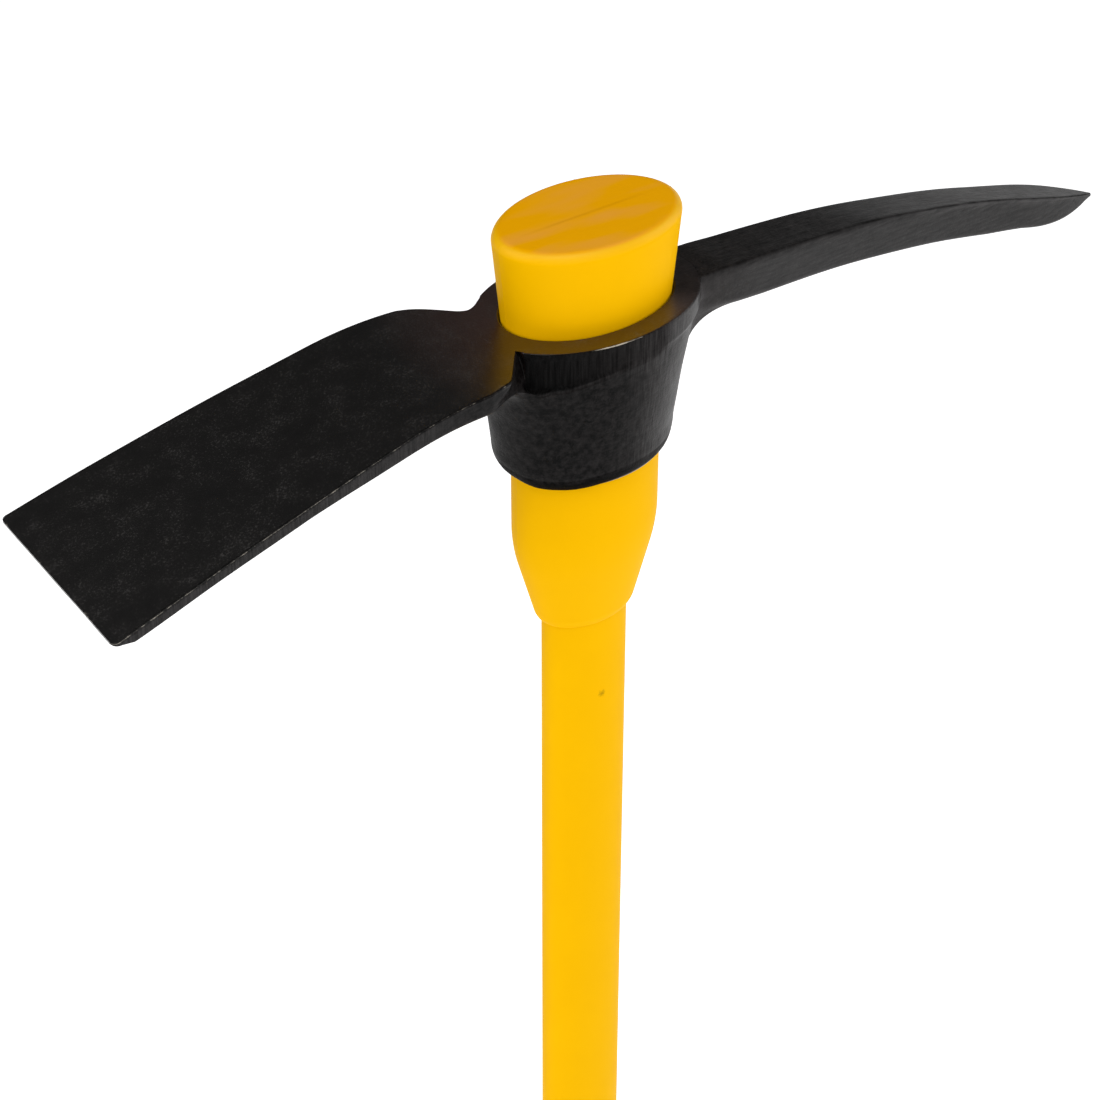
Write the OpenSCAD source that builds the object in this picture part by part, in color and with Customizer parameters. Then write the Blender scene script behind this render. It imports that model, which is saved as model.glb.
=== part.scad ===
/* [Handle] */
// Overall length of the handle, butt to the top of the plug
handle_len = 914; // [700:1:1000]
// Long axis of the oval shaft
shaft_l = 40; // [36:0.5:46]
// Short axis of the oval shaft
shaft_w = 26; // [22:0.5:32]
// Wall of the plastic jacket round the fibreglass core
jacket_wall = 3; // [2:0.25:5]
// Adhesive line between bonded pieces
bond_line = 0.2; // [0.1:0.05:0.4]

/* [Eye end moulding] */
// Height of the plug above the head's top face
plug_proud = 39; // [20:1:60]
// Long axis of the plug at its top rim
plug_top_l = 82; // [78:0.5:92]
// Rounding of the plug's top rim
plug_rim_r = 4.5; // [1:0.5:6]
// Straight stretch of the boss under the head
boss_straight = 31.5; // [10:0.5:50]
// Step from the eye's lower opening in to the boss, on the long radius
boss_relief = 0.6; // [0.2:0.1:2]
// Radius of the boss's shoulder where it turns into its taper
boss_shoulder_r = 75; // [40:1:120]
// Slope of the boss's taper from the handle's axis, in degrees
boss_slope = 17; // [10:0.5:30]
// Radius of the boss's foot where its taper turns in to the shaft
boss_foot_r = 55; // [30:1:90]
// Angle through which the foot turns in, in degrees
boss_foot_turn = 9; // [4:0.5:15]
// Thickness of the boss's lower lip over the shaft
boss_lip = 0.6; // [0.4:0.1:3]
// Length of the jacket held inside the moulding
jacket_hold = 60; // [30:1:80]
// Plastic left above the core's top end
plug_cover = 14; // [8:1:25]

/* [Butt cap] */
// Long axis of the butt cap
butt_l = 46; // [44:0.5:60]
// Short axis of the butt cap
butt_w = 32; // [30:0.5:40]
// Height of the butt cap
butt_h = 42; // [25:1:80]
// Thickness of the butt cap's floor
butt_floor = 6; // [3:0.5:12]
// Rounding of the butt cap's lower edge
butt_round = 4; // [1:0.5:6]
// Rounding of the butt cap's upper edge
butt_lip_r = 2; // [0.5:0.5:3]

/* [Eye] */
// Long axis of the eye at the head's top face
eye_l = 76; // [72:0.5:82]
// Short axis of the eye at the head's top face
eye_w = 50; // [46:0.5:54]
// Long axis of the eye at the collar's underside
eye_low_l = 69; // [64:0.5:72]
// Gap between the eye and the plug on the long radius
seat_gap = 0.4; // [0.3:0.05:0.6]

/* [Collar] */
// Height of the collar round the eye
collar_h = 71.5; // [60:0.5:90]
// Long axis of the collar's top rim
rim_l = 100; // [94:1:112]
// Short axis of the collar's top rim
rim_w = 69; // [66:1:80]
// Height of the sheared band under the top rim
band_h = 12; // [6:0.5:20]
// Rounding of the top rim's edge
rim_round = 0.75; // [0.5:0.25:2]
// Long axis of the collar's body under the band
body_l = 95; // [92:1:102]
// Short axis of the collar's body under the band
body_w = 70.5; // [67:0.5:76]
// Long axis of the collar's body at its waist
body_waist_l = 86; // [82:1:92]
// Height of that waist above the collar's underside
body_waist_h = 37.5; // [24:0.5:50]
// Offset of the collar's body towards the blade
body_shift = 1.5; // [0:0.25:3]
// Long axis of the collar's body where its lower rounding starts
body_low_l = 80; // [78:0.5:86]
// Rounding of the ledge where the body stands out under the band
ledge_round = 3; // [1:0.5:5]
// Height of the rounding at the collar's lower edge
collar_round = 12; // [4:0.5:16]
// Depth of that rounding across the wall
collar_ease = 4.5; // [1:0.25:5]

/* [Blade] */
// Reach of the cutting edge from the handle's axis
blade_reach = 236; // [180:1:260]
// Width of the cutting edge
edge_w = 93; // [80:1:120]
// Width of the blade at its shoulders
shoulder_w = 71; // [60:1:76]
// Width of the neck where it leaves the collar
neck_w = 33; // [28:1:40]
// Reach of the neck's inner corner from the handle's axis
neck_reach = 44; // [42:0.5:47]
// Length of the rounded shoulder along the blade
shoulder_len = 23; // [14:1:30]
// Depth of the neck at the collar
neck_depth = 18; // [14:0.5:30]
// Reach at which the blade starts to bend down
bend_reach = 69; // [66:1:84]
// Radius of that bend along the blade's top
bend_r = 165; // [120:5:300]
// Angle of that bend, in degrees
bend_angle = 13; // [6:0.5:16]
// Radius of the blade's long curve beyond the bend
blade_curve_r = 2600; // [600:10:4000]
// Thickness of the blade beyond its neck
blade_root_t = 8; // [6:0.25:12]
// Thickness of the blade's thin outer stretch
blade_tip_t = 4.4; // [3:0.1:6]
// Reach at which the blade has thinned to that
thin_reach = 150; // [120:1:190]
// Length of the bevel ground on the blade's underside
bevel_len = 9; // [6:1:30]
// Land left on the cutting edge
edge_land = 0.8; // [0.4:0.1:1.5]
// Rounding of the cutting edge's two corners in plan
edge_corner_r = 3; // [1:0.5:12]

/* [Pick] */
// Reach of the point from the handle's axis
pick_reach = 270; // [220:1:300]
// Width of the pick beyond its root
pick_root_w = 24.5; // [20:0.5:28]
// Width of the pick along its slender stretch
pick_waist_w = 16.2; // [12:0.1:19]
// Reach at which the slender stretch starts
waist_reach = 204; // [120:1:210]
// Depth of the pick beyond its root
pick_root_d = 18.8; // [16:0.1:24]
// Depth of the pick where the slender stretch starts
pick_waist_d = 15.2; // [14:0.1:20]
// Depth of the pick where its point starts
pick_point_d = 13.5; // [10:0.5:16]
// Length of the tapered point
point_len = 46; // [30:1:70]
// Power of the curve that closes the point's flanks, higher for fuller flanks
point_power = 2.3; // [1.5:0.1:4]
// Power of the curve that turns the point's underside up, lower for an earlier turn
rise_power = 1.5; // [1:0.1:3]
// Size of the blunt end of the point
point_land = 1.6; // [1:0.1:3]
// Reach at which the pick starts to curve down
curve_reach = 50; // [48:1:60]
// Radius of the pick's curve along its top
pick_curve_r = 605; // [400:5:900]
// Radius of the fillet from the pick's underside to the collar
root_under_r = 13; // [6:0.5:16]

/* [Hidden] */

$fn = 72;
steel_black = "#2b2928";
yellow = "#f5bd05";
glass_fibre = "#d8cf9a";

// Steps along an arc, and along each stretch of an arm
arc_steps = 4;
arm_steps = 8;
// Reach past a face that a cut is carried
over = 1;

head_z = handle_len - plug_proud;
collar_low_z = head_z - collar_h;

// Every oval of the eye, the plug and the boss has the eye's own ratio of axes
eye_ratio = eye_w / eye_l;
eye_a = eye_l / 2;
eye_low_a = eye_low_l / 2;
plug_a = eye_a - seat_gap;
plug_low_a = eye_low_a - seat_gap;
boss_a = plug_low_a - boss_relief;

// The jacket's oval and the core's oval inside it
core_l = shaft_l - 2 * (jacket_wall + bond_line);
core_w = shaft_w - 2 * (jacket_wall + bond_line);

// The lip's long radius covers the shaft on both axes
lip_a = max(shaft_l / 2, shaft_w / 2 / eye_ratio) + bond_line + boss_lip;
boss_top_z = collar_low_z - boss_straight;
shoulder_drop = boss_shoulder_r * sin(boss_slope);
shoulder_in = boss_shoulder_r * (1 - cos(boss_slope));
foot_slope = boss_slope + boss_foot_turn;
foot_drop = boss_foot_r * (sin(foot_slope) - sin(boss_slope));
foot_in = boss_foot_r * (cos(boss_slope) - cos(foot_slope));
taper_h = (boss_a - shoulder_in - foot_in - lip_a) / tan(boss_slope);
boss_low_z = boss_top_z - shoulder_drop - taper_h - foot_drop;
jacket_top_z = boss_low_z + jacket_hold;
core_top_z = handle_len - plug_cover;

function mix(a, b, t) = a + (b - a) * t;
function clamp01(t) = min(1, max(0, t));
function smooth(t) = let (u = clamp01(t)) u * u * (3 - 2 * u);

function reversed(list) = [for (i = [len(list) - 1:-1:0]) list[i]];
function mirrored(list) = [for (p = list) [p[0], -p[1]]];

// Points of an arc about c from angle a0 to a1
function arc(c, r, a0, a1, n = arc_steps) =
    [for (i = [0:n]) let (a = mix(a0, a1, i / n)) c + r * [cos(a), sin(a)]];

// A turned solid drawn out to an oval, in two halves that meet on the long axis as a mould's do
module oval_turned(points, ratio) {
    for (half = [0, 180])
        rotate(half)
            scale([1, ratio, 1])
                rotate_extrude(angle = 180)
                    polygon(points);
}

// An arm of the head: its side view, carried across, where it meets its plan view, carried down
module arm(side, plan, width) {
    intersection() {
        translate([0, 0, head_z])
            rotate([90, 0, 0])
                linear_extrude(width + 2 * over, center = true)
                    polygon(side);
        translate([0, 0, collar_low_z])
            linear_extrude(collar_h + over)
                polygon(plan);
    }
}

module oval_rod(l, w, z0, z1) {
    oval_turned([[0, z0], [l / 2, z0], [l / 2, z1], [0, z1]], w / l);
}

// Fall of the blade's top below the head's top face at reach s
bend_end = bend_reach + bend_r * sin(bend_angle);
curve_x = bend_end - blade_curve_r * sin(bend_angle);
curve_z = -bend_r * (1 - cos(bend_angle)) - blade_curve_r * cos(bend_angle);
function blade_top(s) =
    s <= bend_reach ? 0
    : s <= bend_end ? sqrt(bend_r * bend_r - (s - bend_reach) * (s - bend_reach)) - bend_r
    : curve_z + sqrt(blade_curve_r * blade_curve_r - (s - curve_x) * (s - curve_x));

// The blade's half width: a rounded shoulder out of the neck, then a straight flare to the edge
shoulder_reach = neck_reach + shoulder_len;
function blade_half(s) =
    s <= neck_reach ? neck_w / 2
    : s < shoulder_reach
        ? mix(neck_w, shoulder_w, sin(90 * (s - neck_reach) / shoulder_len)) / 2
    : mix(shoulder_w, edge_w, (s - shoulder_reach) / (blade_reach - shoulder_reach)) / 2;

// The blade's thickness: deep at the neck, a slow taper, then the bevel
bevel_reach = blade_reach - bevel_len;
function blade_thick(s) =
    let (
        taper = mix(blade_root_t, blade_tip_t, clamp01((s - bend_reach) / (thin_reach - bend_reach))),
        neck = (neck_depth - blade_root_t) * smooth((bend_reach - s) / (bend_reach - neck_reach)),
        bevel = (blade_tip_t - edge_land) * clamp01((s - bevel_reach) / bevel_len)
    )
    taper + neck - bevel;

// Stations along the blade: close together round the neck and the bend
blade_stations = concat(
    [for (i = [0:arm_steps - 1]) mix(neck_reach, bend_reach, i / arm_steps)],
    [for (i = [0:arm_steps - 1]) mix(bend_reach, bend_end, i / arm_steps)],
    [for (i = [0:arm_steps - 1]) mix(bend_end, thin_reach, i / arm_steps)],
    [for (i = [0:arm_steps]) mix(thin_reach, bevel_reach, i / arm_steps)],
    [blade_reach]
);
shoulder_stations = [for (i = [0:arm_steps]) mix(neck_reach, shoulder_reach, i / arm_steps)];
arm_root = eye_low_a;

module blade() {
    top = [for (s = blade_stations) [-s, blade_top(s)]];
    under = [for (s = blade_stations) [-s, blade_top(s) - blade_thick(s)]];
    side = concat([[-arm_root, -neck_depth], [-arm_root, 0]], top, reversed(under));
    flank = concat(
        [[-arm_root, neck_w / 2]],
        [for (s = shoulder_stations) [-s, blade_half(s)]],
        arc([edge_corner_r - blade_reach, edge_w / 2 - edge_corner_r], edge_corner_r, 90, 180)
    );
    arm(side, concat(flank, reversed(mirrored(flank))), edge_w);
}

point_reach = pick_reach - point_len;
// Reach of the collar's waist at the pick's flanks, where the underside's fillet ends
waist_ratio = body_w / body_l;
flank_share = pick_root_w / (body_waist_l * waist_ratio);
flank_reach = body_waist_l / 2 * sqrt(1 - flank_share * flank_share) - body_shift;
root_reach = flank_reach + root_under_r;

// The pick: a curve along its top, a slender stretch, and a point whose underside turns up
function pick_top(x) =
    x <= curve_reach ? 0
    : sqrt(pick_curve_r * pick_curve_r - (x - curve_reach) * (x - curve_reach)) - pick_curve_r;
function fillet(r, d) = let (t = min(r, max(0, d))) r - sqrt(r * r - t * t);
function pick_half(x) =
    let (
        u = clamp01((x - point_reach) / point_len),
        body = mix(pick_root_w, pick_waist_w, clamp01((x - root_reach) / (waist_reach - root_reach))) / 2
    )
    mix(point_land / 2, body, 1 - pow(u, point_power));
function pick_depth(x) =
    let (
        u = clamp01((x - point_reach) / point_len),
        body = x < waist_reach
            ? mix(pick_root_d, pick_waist_d, clamp01((x - curve_reach) / (waist_reach - curve_reach)))
            : mix(pick_waist_d, pick_point_d, clamp01((x - waist_reach) / (point_reach - waist_reach)))
    )
    mix(point_land, body, 1 - pow(u, rise_power)) + fillet(root_under_r, root_reach - x);

// The slender stretch lies between the waist and the point's start, and the waist's taper may run on into the point
slender_from = min(waist_reach, point_reach);
slender_to = max(waist_reach, point_reach);
pick_stations = concat(
    [for (i = [0:arm_steps]) mix(flank_reach, root_reach, i / arm_steps)],
    [for (i = [1:arm_steps]) mix(root_reach, slender_from, i / arm_steps)],
    [for (i = [1:arm_steps]) mix(slender_from, slender_to, i / arm_steps)],
    [for (i = [1:arm_steps]) mix(slender_to, pick_reach, i / arm_steps)]
);

module pick() {
    top = [for (x = pick_stations) [x, pick_top(x)]];
    under = [for (x = pick_stations) [x, pick_top(x) - pick_depth(x)]];
    flank = [for (x = pick_stations) [x, pick_half(x)]];
    arm(concat(top, reversed(under)), concat(flank, reversed(mirrored(flank))), pick_root_w);
}

// The collar: a sheared band under the rim, and a body that stands out below it and leans in
module collar() {
    band_low = head_z - band_h - ledge_round;
    oval_turned(concat(
        [[0, band_low], [rim_l / 2, band_low]],
        arc([rim_l / 2 - rim_round, head_z - rim_round], rim_round, 0, 90),
        [[0, head_z]]
    ), rim_w / rim_l);
    ledge_c = [body_l / 2 - ledge_round, head_z - band_h - ledge_round];
    low_c = [body_low_l / 2 - collar_ease, collar_low_z + collar_round];
    low_edge = [for (p = arc([0, 0], 1, -90, 0)) low_c + [p[0] * collar_ease, p[1] * collar_round]];
    translate([-body_shift, 0, 0])
        oval_turned(concat(
            [[0, collar_low_z]],
            low_edge,
            [[body_waist_l / 2, collar_low_z + body_waist_h]],
            arc(ledge_c, ledge_round, 0, 90),
            [[0, head_z - band_h]]
        ), waist_ratio);
}

module eye() {
    lean = (eye_a - eye_low_a) / collar_h;
    low = collar_low_z - over;
    high = head_z + over;
    oval_turned([[0, low], [eye_low_a - lean * over, low], [eye_a + lean * over, high], [0, high]], eye_ratio);
}

module head() {
    color(steel_black)
        difference() {
            union() {
                collar();
                blade();
                pick();
            }
            eye();
        }
}

// The moulding: flared plug, taper through the eye, straight boss, shoulder, taper and foot
module eye_moulding() {
    shoulder_c = [boss_a - boss_shoulder_r, boss_top_z];
    foot_c = [lip_a - boss_foot_r * cos(foot_slope), boss_low_z + boss_foot_r * sin(foot_slope)];
    color(yellow)
        difference() {
            oval_turned(concat(
                [[0, boss_low_z]],
                arc(foot_c, boss_foot_r, -foot_slope, -boss_slope),
                arc(shoulder_c, boss_shoulder_r, -boss_slope, 0),
                [[boss_a, collar_low_z], [plug_low_a, collar_low_z + boss_relief], [plug_a, head_z]],
                arc([plug_top_l / 2 - plug_rim_r, handle_len - plug_rim_r], plug_rim_r, 0, 90),
                [[0, handle_len]]
            ), eye_ratio);
            oval_rod(shaft_l + 2 * bond_line, shaft_w + 2 * bond_line, boss_low_z - over, jacket_top_z);
            oval_rod(core_l + 2 * bond_line, core_w + 2 * bond_line, jacket_top_z - over, core_top_z);
        }
}

module shaft_jacket() {
    color(yellow)
        difference() {
            oval_rod(shaft_l, shaft_w, butt_floor, jacket_top_z);
            oval_rod(core_l + 2 * bond_line, core_w + 2 * bond_line, butt_floor - over, jacket_top_z + over);
        }
}

module core_rod() {
    color(glass_fibre)
        oval_rod(core_l, core_w, butt_floor, core_top_z);
}

module butt_cap() {
    r = butt_l / 2;
    color(yellow)
        difference() {
            oval_turned(concat(
                [[0, 0]],
                arc([r - butt_round, butt_round], butt_round, -90, 0),
                arc([r - butt_lip_r, butt_h - butt_lip_r], butt_lip_r, 0, 90),
                [[0, butt_h]]
            ), butt_w / butt_l);
            oval_rod(shaft_l + 2 * bond_line, shaft_w + 2 * bond_line, butt_floor, butt_h + over);
        }
}

head();
eye_moulding();
shaft_jacket();
core_rod();
butt_cap();
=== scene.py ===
"""A pick mattock: a forged black head with a hoe blade and a pick, slipped over a flared yellow handle.

Lengths in this script are millimetres until a mesh is made. Heights on the handle are measured from the
butt's face, and heights on the head from its top face. A reach is a distance from the handle's axis along
the blade or the pick. A pair of sizes holds an oval's half axes along X and along Y. The near side is the
one towards -Y.
"""

import math
from collections import namedtuple

import bmesh
import bpy
import numpy as np
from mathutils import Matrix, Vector


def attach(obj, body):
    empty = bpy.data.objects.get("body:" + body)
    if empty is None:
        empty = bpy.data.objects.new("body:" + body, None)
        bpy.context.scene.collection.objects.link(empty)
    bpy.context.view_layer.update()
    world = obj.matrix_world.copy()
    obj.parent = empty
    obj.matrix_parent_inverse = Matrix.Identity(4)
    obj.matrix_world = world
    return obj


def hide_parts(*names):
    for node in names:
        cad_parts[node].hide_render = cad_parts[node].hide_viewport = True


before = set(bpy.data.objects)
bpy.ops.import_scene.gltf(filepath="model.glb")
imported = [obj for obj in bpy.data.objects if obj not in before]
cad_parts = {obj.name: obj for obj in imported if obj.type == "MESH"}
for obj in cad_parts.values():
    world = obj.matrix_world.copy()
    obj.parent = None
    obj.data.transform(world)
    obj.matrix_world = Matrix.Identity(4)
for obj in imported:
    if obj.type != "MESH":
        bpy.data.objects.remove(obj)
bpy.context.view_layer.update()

MM = 0.001
QUARTER = math.pi / 2.0

# Edges that turn by more than this many degrees are shaded sharp
PLASTIC_CREASE = 35.0
STEEL_CREASE = 40.0

# Handle. A name that ends in A is a half axis along X, and BOND is the glue line round jacket and core
HANDLE_LEN = 914.0
HEAD_Z = 875.0
COLLAR_LOW = 803.5
SHAFT = (20.0, 13.0)
CORE = (16.8, 9.8)
BOND = 0.2
EYE_RATIO = 50.0 / 76.0
PLUG_TOP_A = 41.0
PLUG_RIM_R = 4.5
PLUG_FOOT_A = 37.6
SEAT_LOW = 804.1
SEAT_LOW_A = 34.1
BOSS_A = 33.5
BOSS_TOP = 772.0
BOSS_LOW = 721.57
BOSS_SLOPE = math.radians(15.3)
SHOULDER_R = 75.0
FOOT_R = 9.0
FOOT_TURN = math.radians(34.7)
LIP_A = 20.8
LIP_IN = 0.15
LIP_DROP = 0.1
PARTING_RIDGE = 0.1
PARTING_HALF = math.radians(0.7)
JACKET_TOP = 781.57
CORE_TOP = 900.0
BUTT = (23.0, 16.0)
BUTT_H = 42.0
BUTT_FLOOR = 6.0
BUTT_LOW_R = 4.0
BUTT_LIP_R = 2.0

# Collar. A name that ends in IN is a face's inner edge, and the shift is along X
RIM = (50.0, 34.5)
RIM_R = 0.75
FACE_IN = (38.9, 25.7)
BAND_LOW = -9.0
BAND_LEAN = 0.09
LEDGE = (48.3, 34.75)
LEDGE_LOW = -11.2
BODY_SHIFT = -1.5
BODY_LOW = (40.0, 29.7)
BODY_LOW_Z = -59.5
FOOT_IN = (35.5, 26.35)
UNDER_IN = (35.0, 23.1)
COLLAR_H = 71.5
EYE_LOW = (34.5, 22.7)
EYE_LOW_Z = -71.0
EYE_TOP = (38.0, 25.0)
EYE_TOP_Z = -0.9

# Windows that the arms grow from: edges in degrees from the pick's direction, lower edge, columns across
PICK_WINDOW = 27.0
PICK_WINDOW_LOW = -31.0
N_PICK = 20
BLADE_WINDOW = (132.0, 212.5)
BLADE_WINDOW_LOW = -27.0
N_BLADE = 48
N_FLANK = 56

# Pick
PICK_REACH = 270.0
PICK_ROOT = 50.0
PICK_TAPER = 51.0
PICK_R = 605.0
WAIST_REACH = 204.0
POINT_REACH = 224.0

# Blade
BLADE_REACH = 236.0
NECK_REACH = 44.0
NECK_END = 64.0
SHOULDER_REACH = 67.0
SHOULDER_HALF = 35.5
EDGE_HALF = 46.5
CORNER_R = 3.0
BEND_REACH = 69.0
BEND_R = 165.0
BEND_TURN = math.radians(13.0)
SWEEP_R = 2600.0
THIN_REACH = 150.0
BEVEL_REACH = 227.0

# Finishes of the steel, whose shares the head's points carry: rubbed bright with a painted highlight along
# the rim, sheared grey, thick dark paint with painted shade in the recess and under the foot, thin dull
# paint over scale
FINISHES = ("wear_and_highlight", "sheared", "pooled_and_shaded", "scaled")


def smooth(t):
    """The cubic 3t^2 - 2t^3 on t held between 0 and 1."""
    t = np.clip(t, 0.0, 1.0)
    return t * t * (3.0 - 2.0 * t)


def rise(x, start, end):
    """A smooth step in x from 0 at the start to 1 at the end. The end can be the lower of the two."""
    return smooth((x - start) / (end - start))


def bell(x, middle, width):
    """The bell curve exp(-u^2), where u is the distance from the middle in widths."""
    return np.exp(-(((x - middle) / width) ** 2))


def mix(a, b, t):
    """The straight blend a + (b - a) t."""
    return a + (b - a) * t


def soft_min(a, b, k):
    """The lesser of two values, the corner rounded over about k: -k log(exp(-a/k) + exp(-b/k))."""
    return -k * np.logaddexp(-a / k, -b / k)


def crowded(n):
    """n values from 1 down to -1 that crowd at both ends: the sine of an even run of quarter turns."""
    return np.sin(np.linspace(1.0, -1.0, n) * QUARTER)


def stacked(*columns):
    """Rows made from columns, each of them one value for all rows or a value per row."""
    return np.stack(np.broadcast_arrays(*columns), -1)


def cells(index, round_u=False, round_v=False):
    """Quads of a grid of vertex numbers, four neighbours each, the last row or column joined to the
    first."""
    if round_u:
        index = np.concatenate([index, index[:1]], 0)
    if round_v:
        index = np.concatenate([index, index[:, :1]], 1)
    return np.stack([index[:-1, :-1], index[1:, :-1], index[1:, 1:], index[:-1, 1:]], -1)


def make_piece(name, points, faces, crease, material, body, node):
    """Puts points into a mesh at the origin, turns its faces outwards and hands it to its CAD body."""
    mesh = bpy.data.meshes.new(name)
    mesh.from_pydata((points * MM).tolist(), [], faces)
    mesh.update()
    shell = bmesh.new()
    shell.from_mesh(mesh)
    bmesh.ops.recalc_face_normals(shell, faces=shell.faces)
    shell.to_mesh(mesh)
    shell.free()
    mesh.shade_smooth()
    mesh.set_sharp_from_angle(angle=math.radians(crease))
    mesh.materials.append(material)
    piece = bpy.data.objects.new(name, mesh)
    bpy.context.scene.collection.objects.link(piece)
    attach(piece, body)
    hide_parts(node)
    return piece


# The blade


def blade_top(s):
    """Fall of the blade's top at reach s: level, then an arc of the bend's radius through its turn, then
    a wide arc on to the cutting edge."""
    bend_end = BEND_REACH + BEND_R * math.sin(BEND_TURN)
    sweep_x = bend_end - SWEEP_R * math.sin(BEND_TURN)
    sweep_z = -BEND_R * (1.0 - math.cos(BEND_TURN)) - SWEEP_R * math.cos(BEND_TURN)
    bend = np.sqrt(BEND_R**2 - np.clip(s - BEND_REACH, 0.0, BEND_R) ** 2) - BEND_R
    sweep = sweep_z + np.sqrt(SWEEP_R**2 - (s - sweep_x) ** 2)
    return np.where(s < bend_end, bend, sweep)


def blade_half(s, p, q):
    """Half width of the blade at reach s, on the far side where p is positive and the near side where it
    is negative. A slanted line out of the notch meets a straight flare in a rounded corner, and the
    cutting edge's own corner is a quarter circle. On the far side the rounding is softer, and the flare
    is a little lower at the shoulder and bows by a sine. The near notch is shallower under the top face
    (q below 1), where its line blends to a flatter one."""
    near_low = 20.3 + 0.71 * (s - 44.0)
    near_high = 17.9 + 1.33 * (s - 45.5)
    near_line = mix(near_low, near_high, rise(q, -0.3, 1.0))
    far_line = 20.1 + 0.93 * (s - 46.0)
    slant = np.where(p > 0, far_line, near_line)
    short = SHOULDER_REACH - np.minimum(s, SHOULDER_REACH)
    along = np.clip((s - SHOULDER_REACH) / (BLADE_REACH - SHOULDER_REACH), 0.0, 1.0)
    bow = np.where(p > 0, 1.1 * np.sin(math.pi * along) - 0.45 * (1.0 - along), 0.0)
    flare = SHOULDER_HALF - 0.29 * short + (EDGE_HALF - SHOULDER_HALF) * along + bow
    into_corner = np.clip(s - (BLADE_REACH - CORNER_R), 0.0, CORNER_R)
    cut = CORNER_R - np.sqrt(CORNER_R**2 - into_corner**2)
    rounding = np.where(p > 0, 1.6, 0.6)
    return soft_min(slant, flare, rounding) - cut


def blade_depth(s):
    """Thickness of the blade: deep at the neck by a power curve, two tapers, then the bevel to a land."""
    taper = np.interp(s, [BEND_REACH, 100.0, THIN_REACH, BLADE_REACH], [9.6, 8.2, 5.6, 5.0])
    neck = 8.0 * np.clip((NECK_END - s) / (NECK_END - NECK_REACH), 0.0, 1.2) ** 1.5
    bevel = 4.2 * np.clip((s - BEVEL_REACH) / (BLADE_REACH - BEVEL_REACH), 0.0, 1.0)
    return taper + neck - bevel


def blade_edge(s, q):
    """Edge radius of the blade along straight runs, larger under it (q below 0) at the neck."""
    upper = np.interp(s, [NECK_REACH, 60.0, 120.0, BLADE_REACH], [0.7, 1.0, 1.2, 1.1])
    lower = np.interp(s, [NECK_REACH, 60.0, 84.0, 120.0], [3.0, 2.4, 2.2, 1.2])
    return np.where(q > 0, upper, lower)


def blade_root(p, q):
    """How the blade leaves the collar round its section: the fillet's length, how crisp the corner is,
    how far it is filled and how far past the wall it lies. The far notch is plain and rounded, with its
    corner past the wall. The near one is crisp at the top and filled lower down."""
    near = rise(p, 0.3, -0.3)
    near_fillet = np.interp(q, [-1.0, -0.5, 0.0, 0.4, 0.7, 1.0], [8.0, 8.0, 6.0, 2.5, 1.6, 1.2])
    near_crisp = np.interp(q, [-0.2, 0.3, 0.9, 1.0], [0.0, 0.3, 0.7, 0.85])
    near_fill = np.interp(q, [-1.0, -0.3, 0.1], [0.2, 0.5, 0.0])
    fillet = mix(7.6, near_fillet, near)
    crisp = mix(0.2 * rise(q, 0.2, 0.7), near_crisp, near)
    return fillet, crisp, near * near_fill, 1.6 * (1.0 - near)


def blade_finish(p, q, reach, corner):
    """Finishes of the blade as ramps in the reach and the place round the section: rubbed edges and
    cutting edge, grey sides from the shoulder out, and thin paint on the neck, the sides and the
    edges."""
    flank = rise(np.abs(p) * (1.0 - np.abs(q)), 0.0, 0.25)
    rubbed_and_highlit = mix(0.72, 0.84, rise(reach, 70.0, 130.0)) * corner
    wear_and_highlight = np.maximum(rubbed_and_highlit, 0.7 * rise(reach, 233.0, BLADE_REACH))
    sheared = 0.5 * flank * rise(reach, 72.0, 112.0)
    neck = rise(reach, 62.0, 42.0) * rise(q, 0.5, -0.1)
    scaled = np.maximum(np.maximum(neck, 0.95 * flank), 0.95 * rise(corner, 0.0, 0.4))
    return wear_and_highlight, sheared, 0.0, scaled


# The pick


def pick_top(s):
    """Fall of the pick's top at reach s: an arc from the root on, with a slight dip past the root."""
    dip = 0.7 * rise(s, 54.0, 72.0) * rise(s, 140.0, 80.0)
    return np.sqrt(PICK_R**2 - np.clip(s - PICK_ROOT, 0.0, None) ** 2) - PICK_R - dip


def pick_half(s, p, q):
    """Half width of the pick at reach s: a straight taper, then a power curve that closes the point. It
    is the same all round, whatever p and q are."""
    body = mix(12.35, 8.2, np.clip((s - PICK_TAPER) / (WAIST_REACH - PICK_TAPER), 0.0, 1.0))
    point = np.clip((s - POINT_REACH) / (PICK_REACH - POINT_REACH), 0.0, 1.0)
    return mix(0.8, body, 1.0 - point**2.3)


def pick_depth(s):
    """Depth of the pick: two straight tapers, then a power curve turns the underside up to the point."""
    body = np.interp(s, [PICK_ROOT, WAIST_REACH, POINT_REACH], [20.4, 16.9, 15.2])
    point = np.clip((s - POINT_REACH) / (PICK_REACH - POINT_REACH), 0.0, 1.0)
    return mix(1.6, body, 1.0 - point**2.2)


def pick_edge(s, q):
    """Edge radius of the pick along straight runs: crisp above from the root to the middle and softer to
    the point, and broad below."""
    upper = np.interp(s, [44.0, 110.0, 150.0, 235.0, PICK_REACH], [0.7, 0.9, 1.9, 1.8, 0.8])
    lower = np.interp(s, [44.0, 80.0, 140.0, 235.0], [6.0, 3.0, 2.2, 2.0])
    return np.where(q > 0, upper, lower)


def pick_root(p, q):
    """How the pick leaves the collar, in the terms of blade_root: a long fillet under it and a crisp
    corner along its top, neither filled nor past the wall."""
    fillet = np.interp(q, [-1.0, -0.6, 0.6, 1.0], [21.0, 12.0, 3.5, 2.0])
    crisp = np.interp(q, [-1.0, 0.4, 0.9, 1.0], [0.0, 0.1, 0.7, 0.85])
    none = np.zeros_like(p)
    return fillet, crisp, none, none


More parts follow.
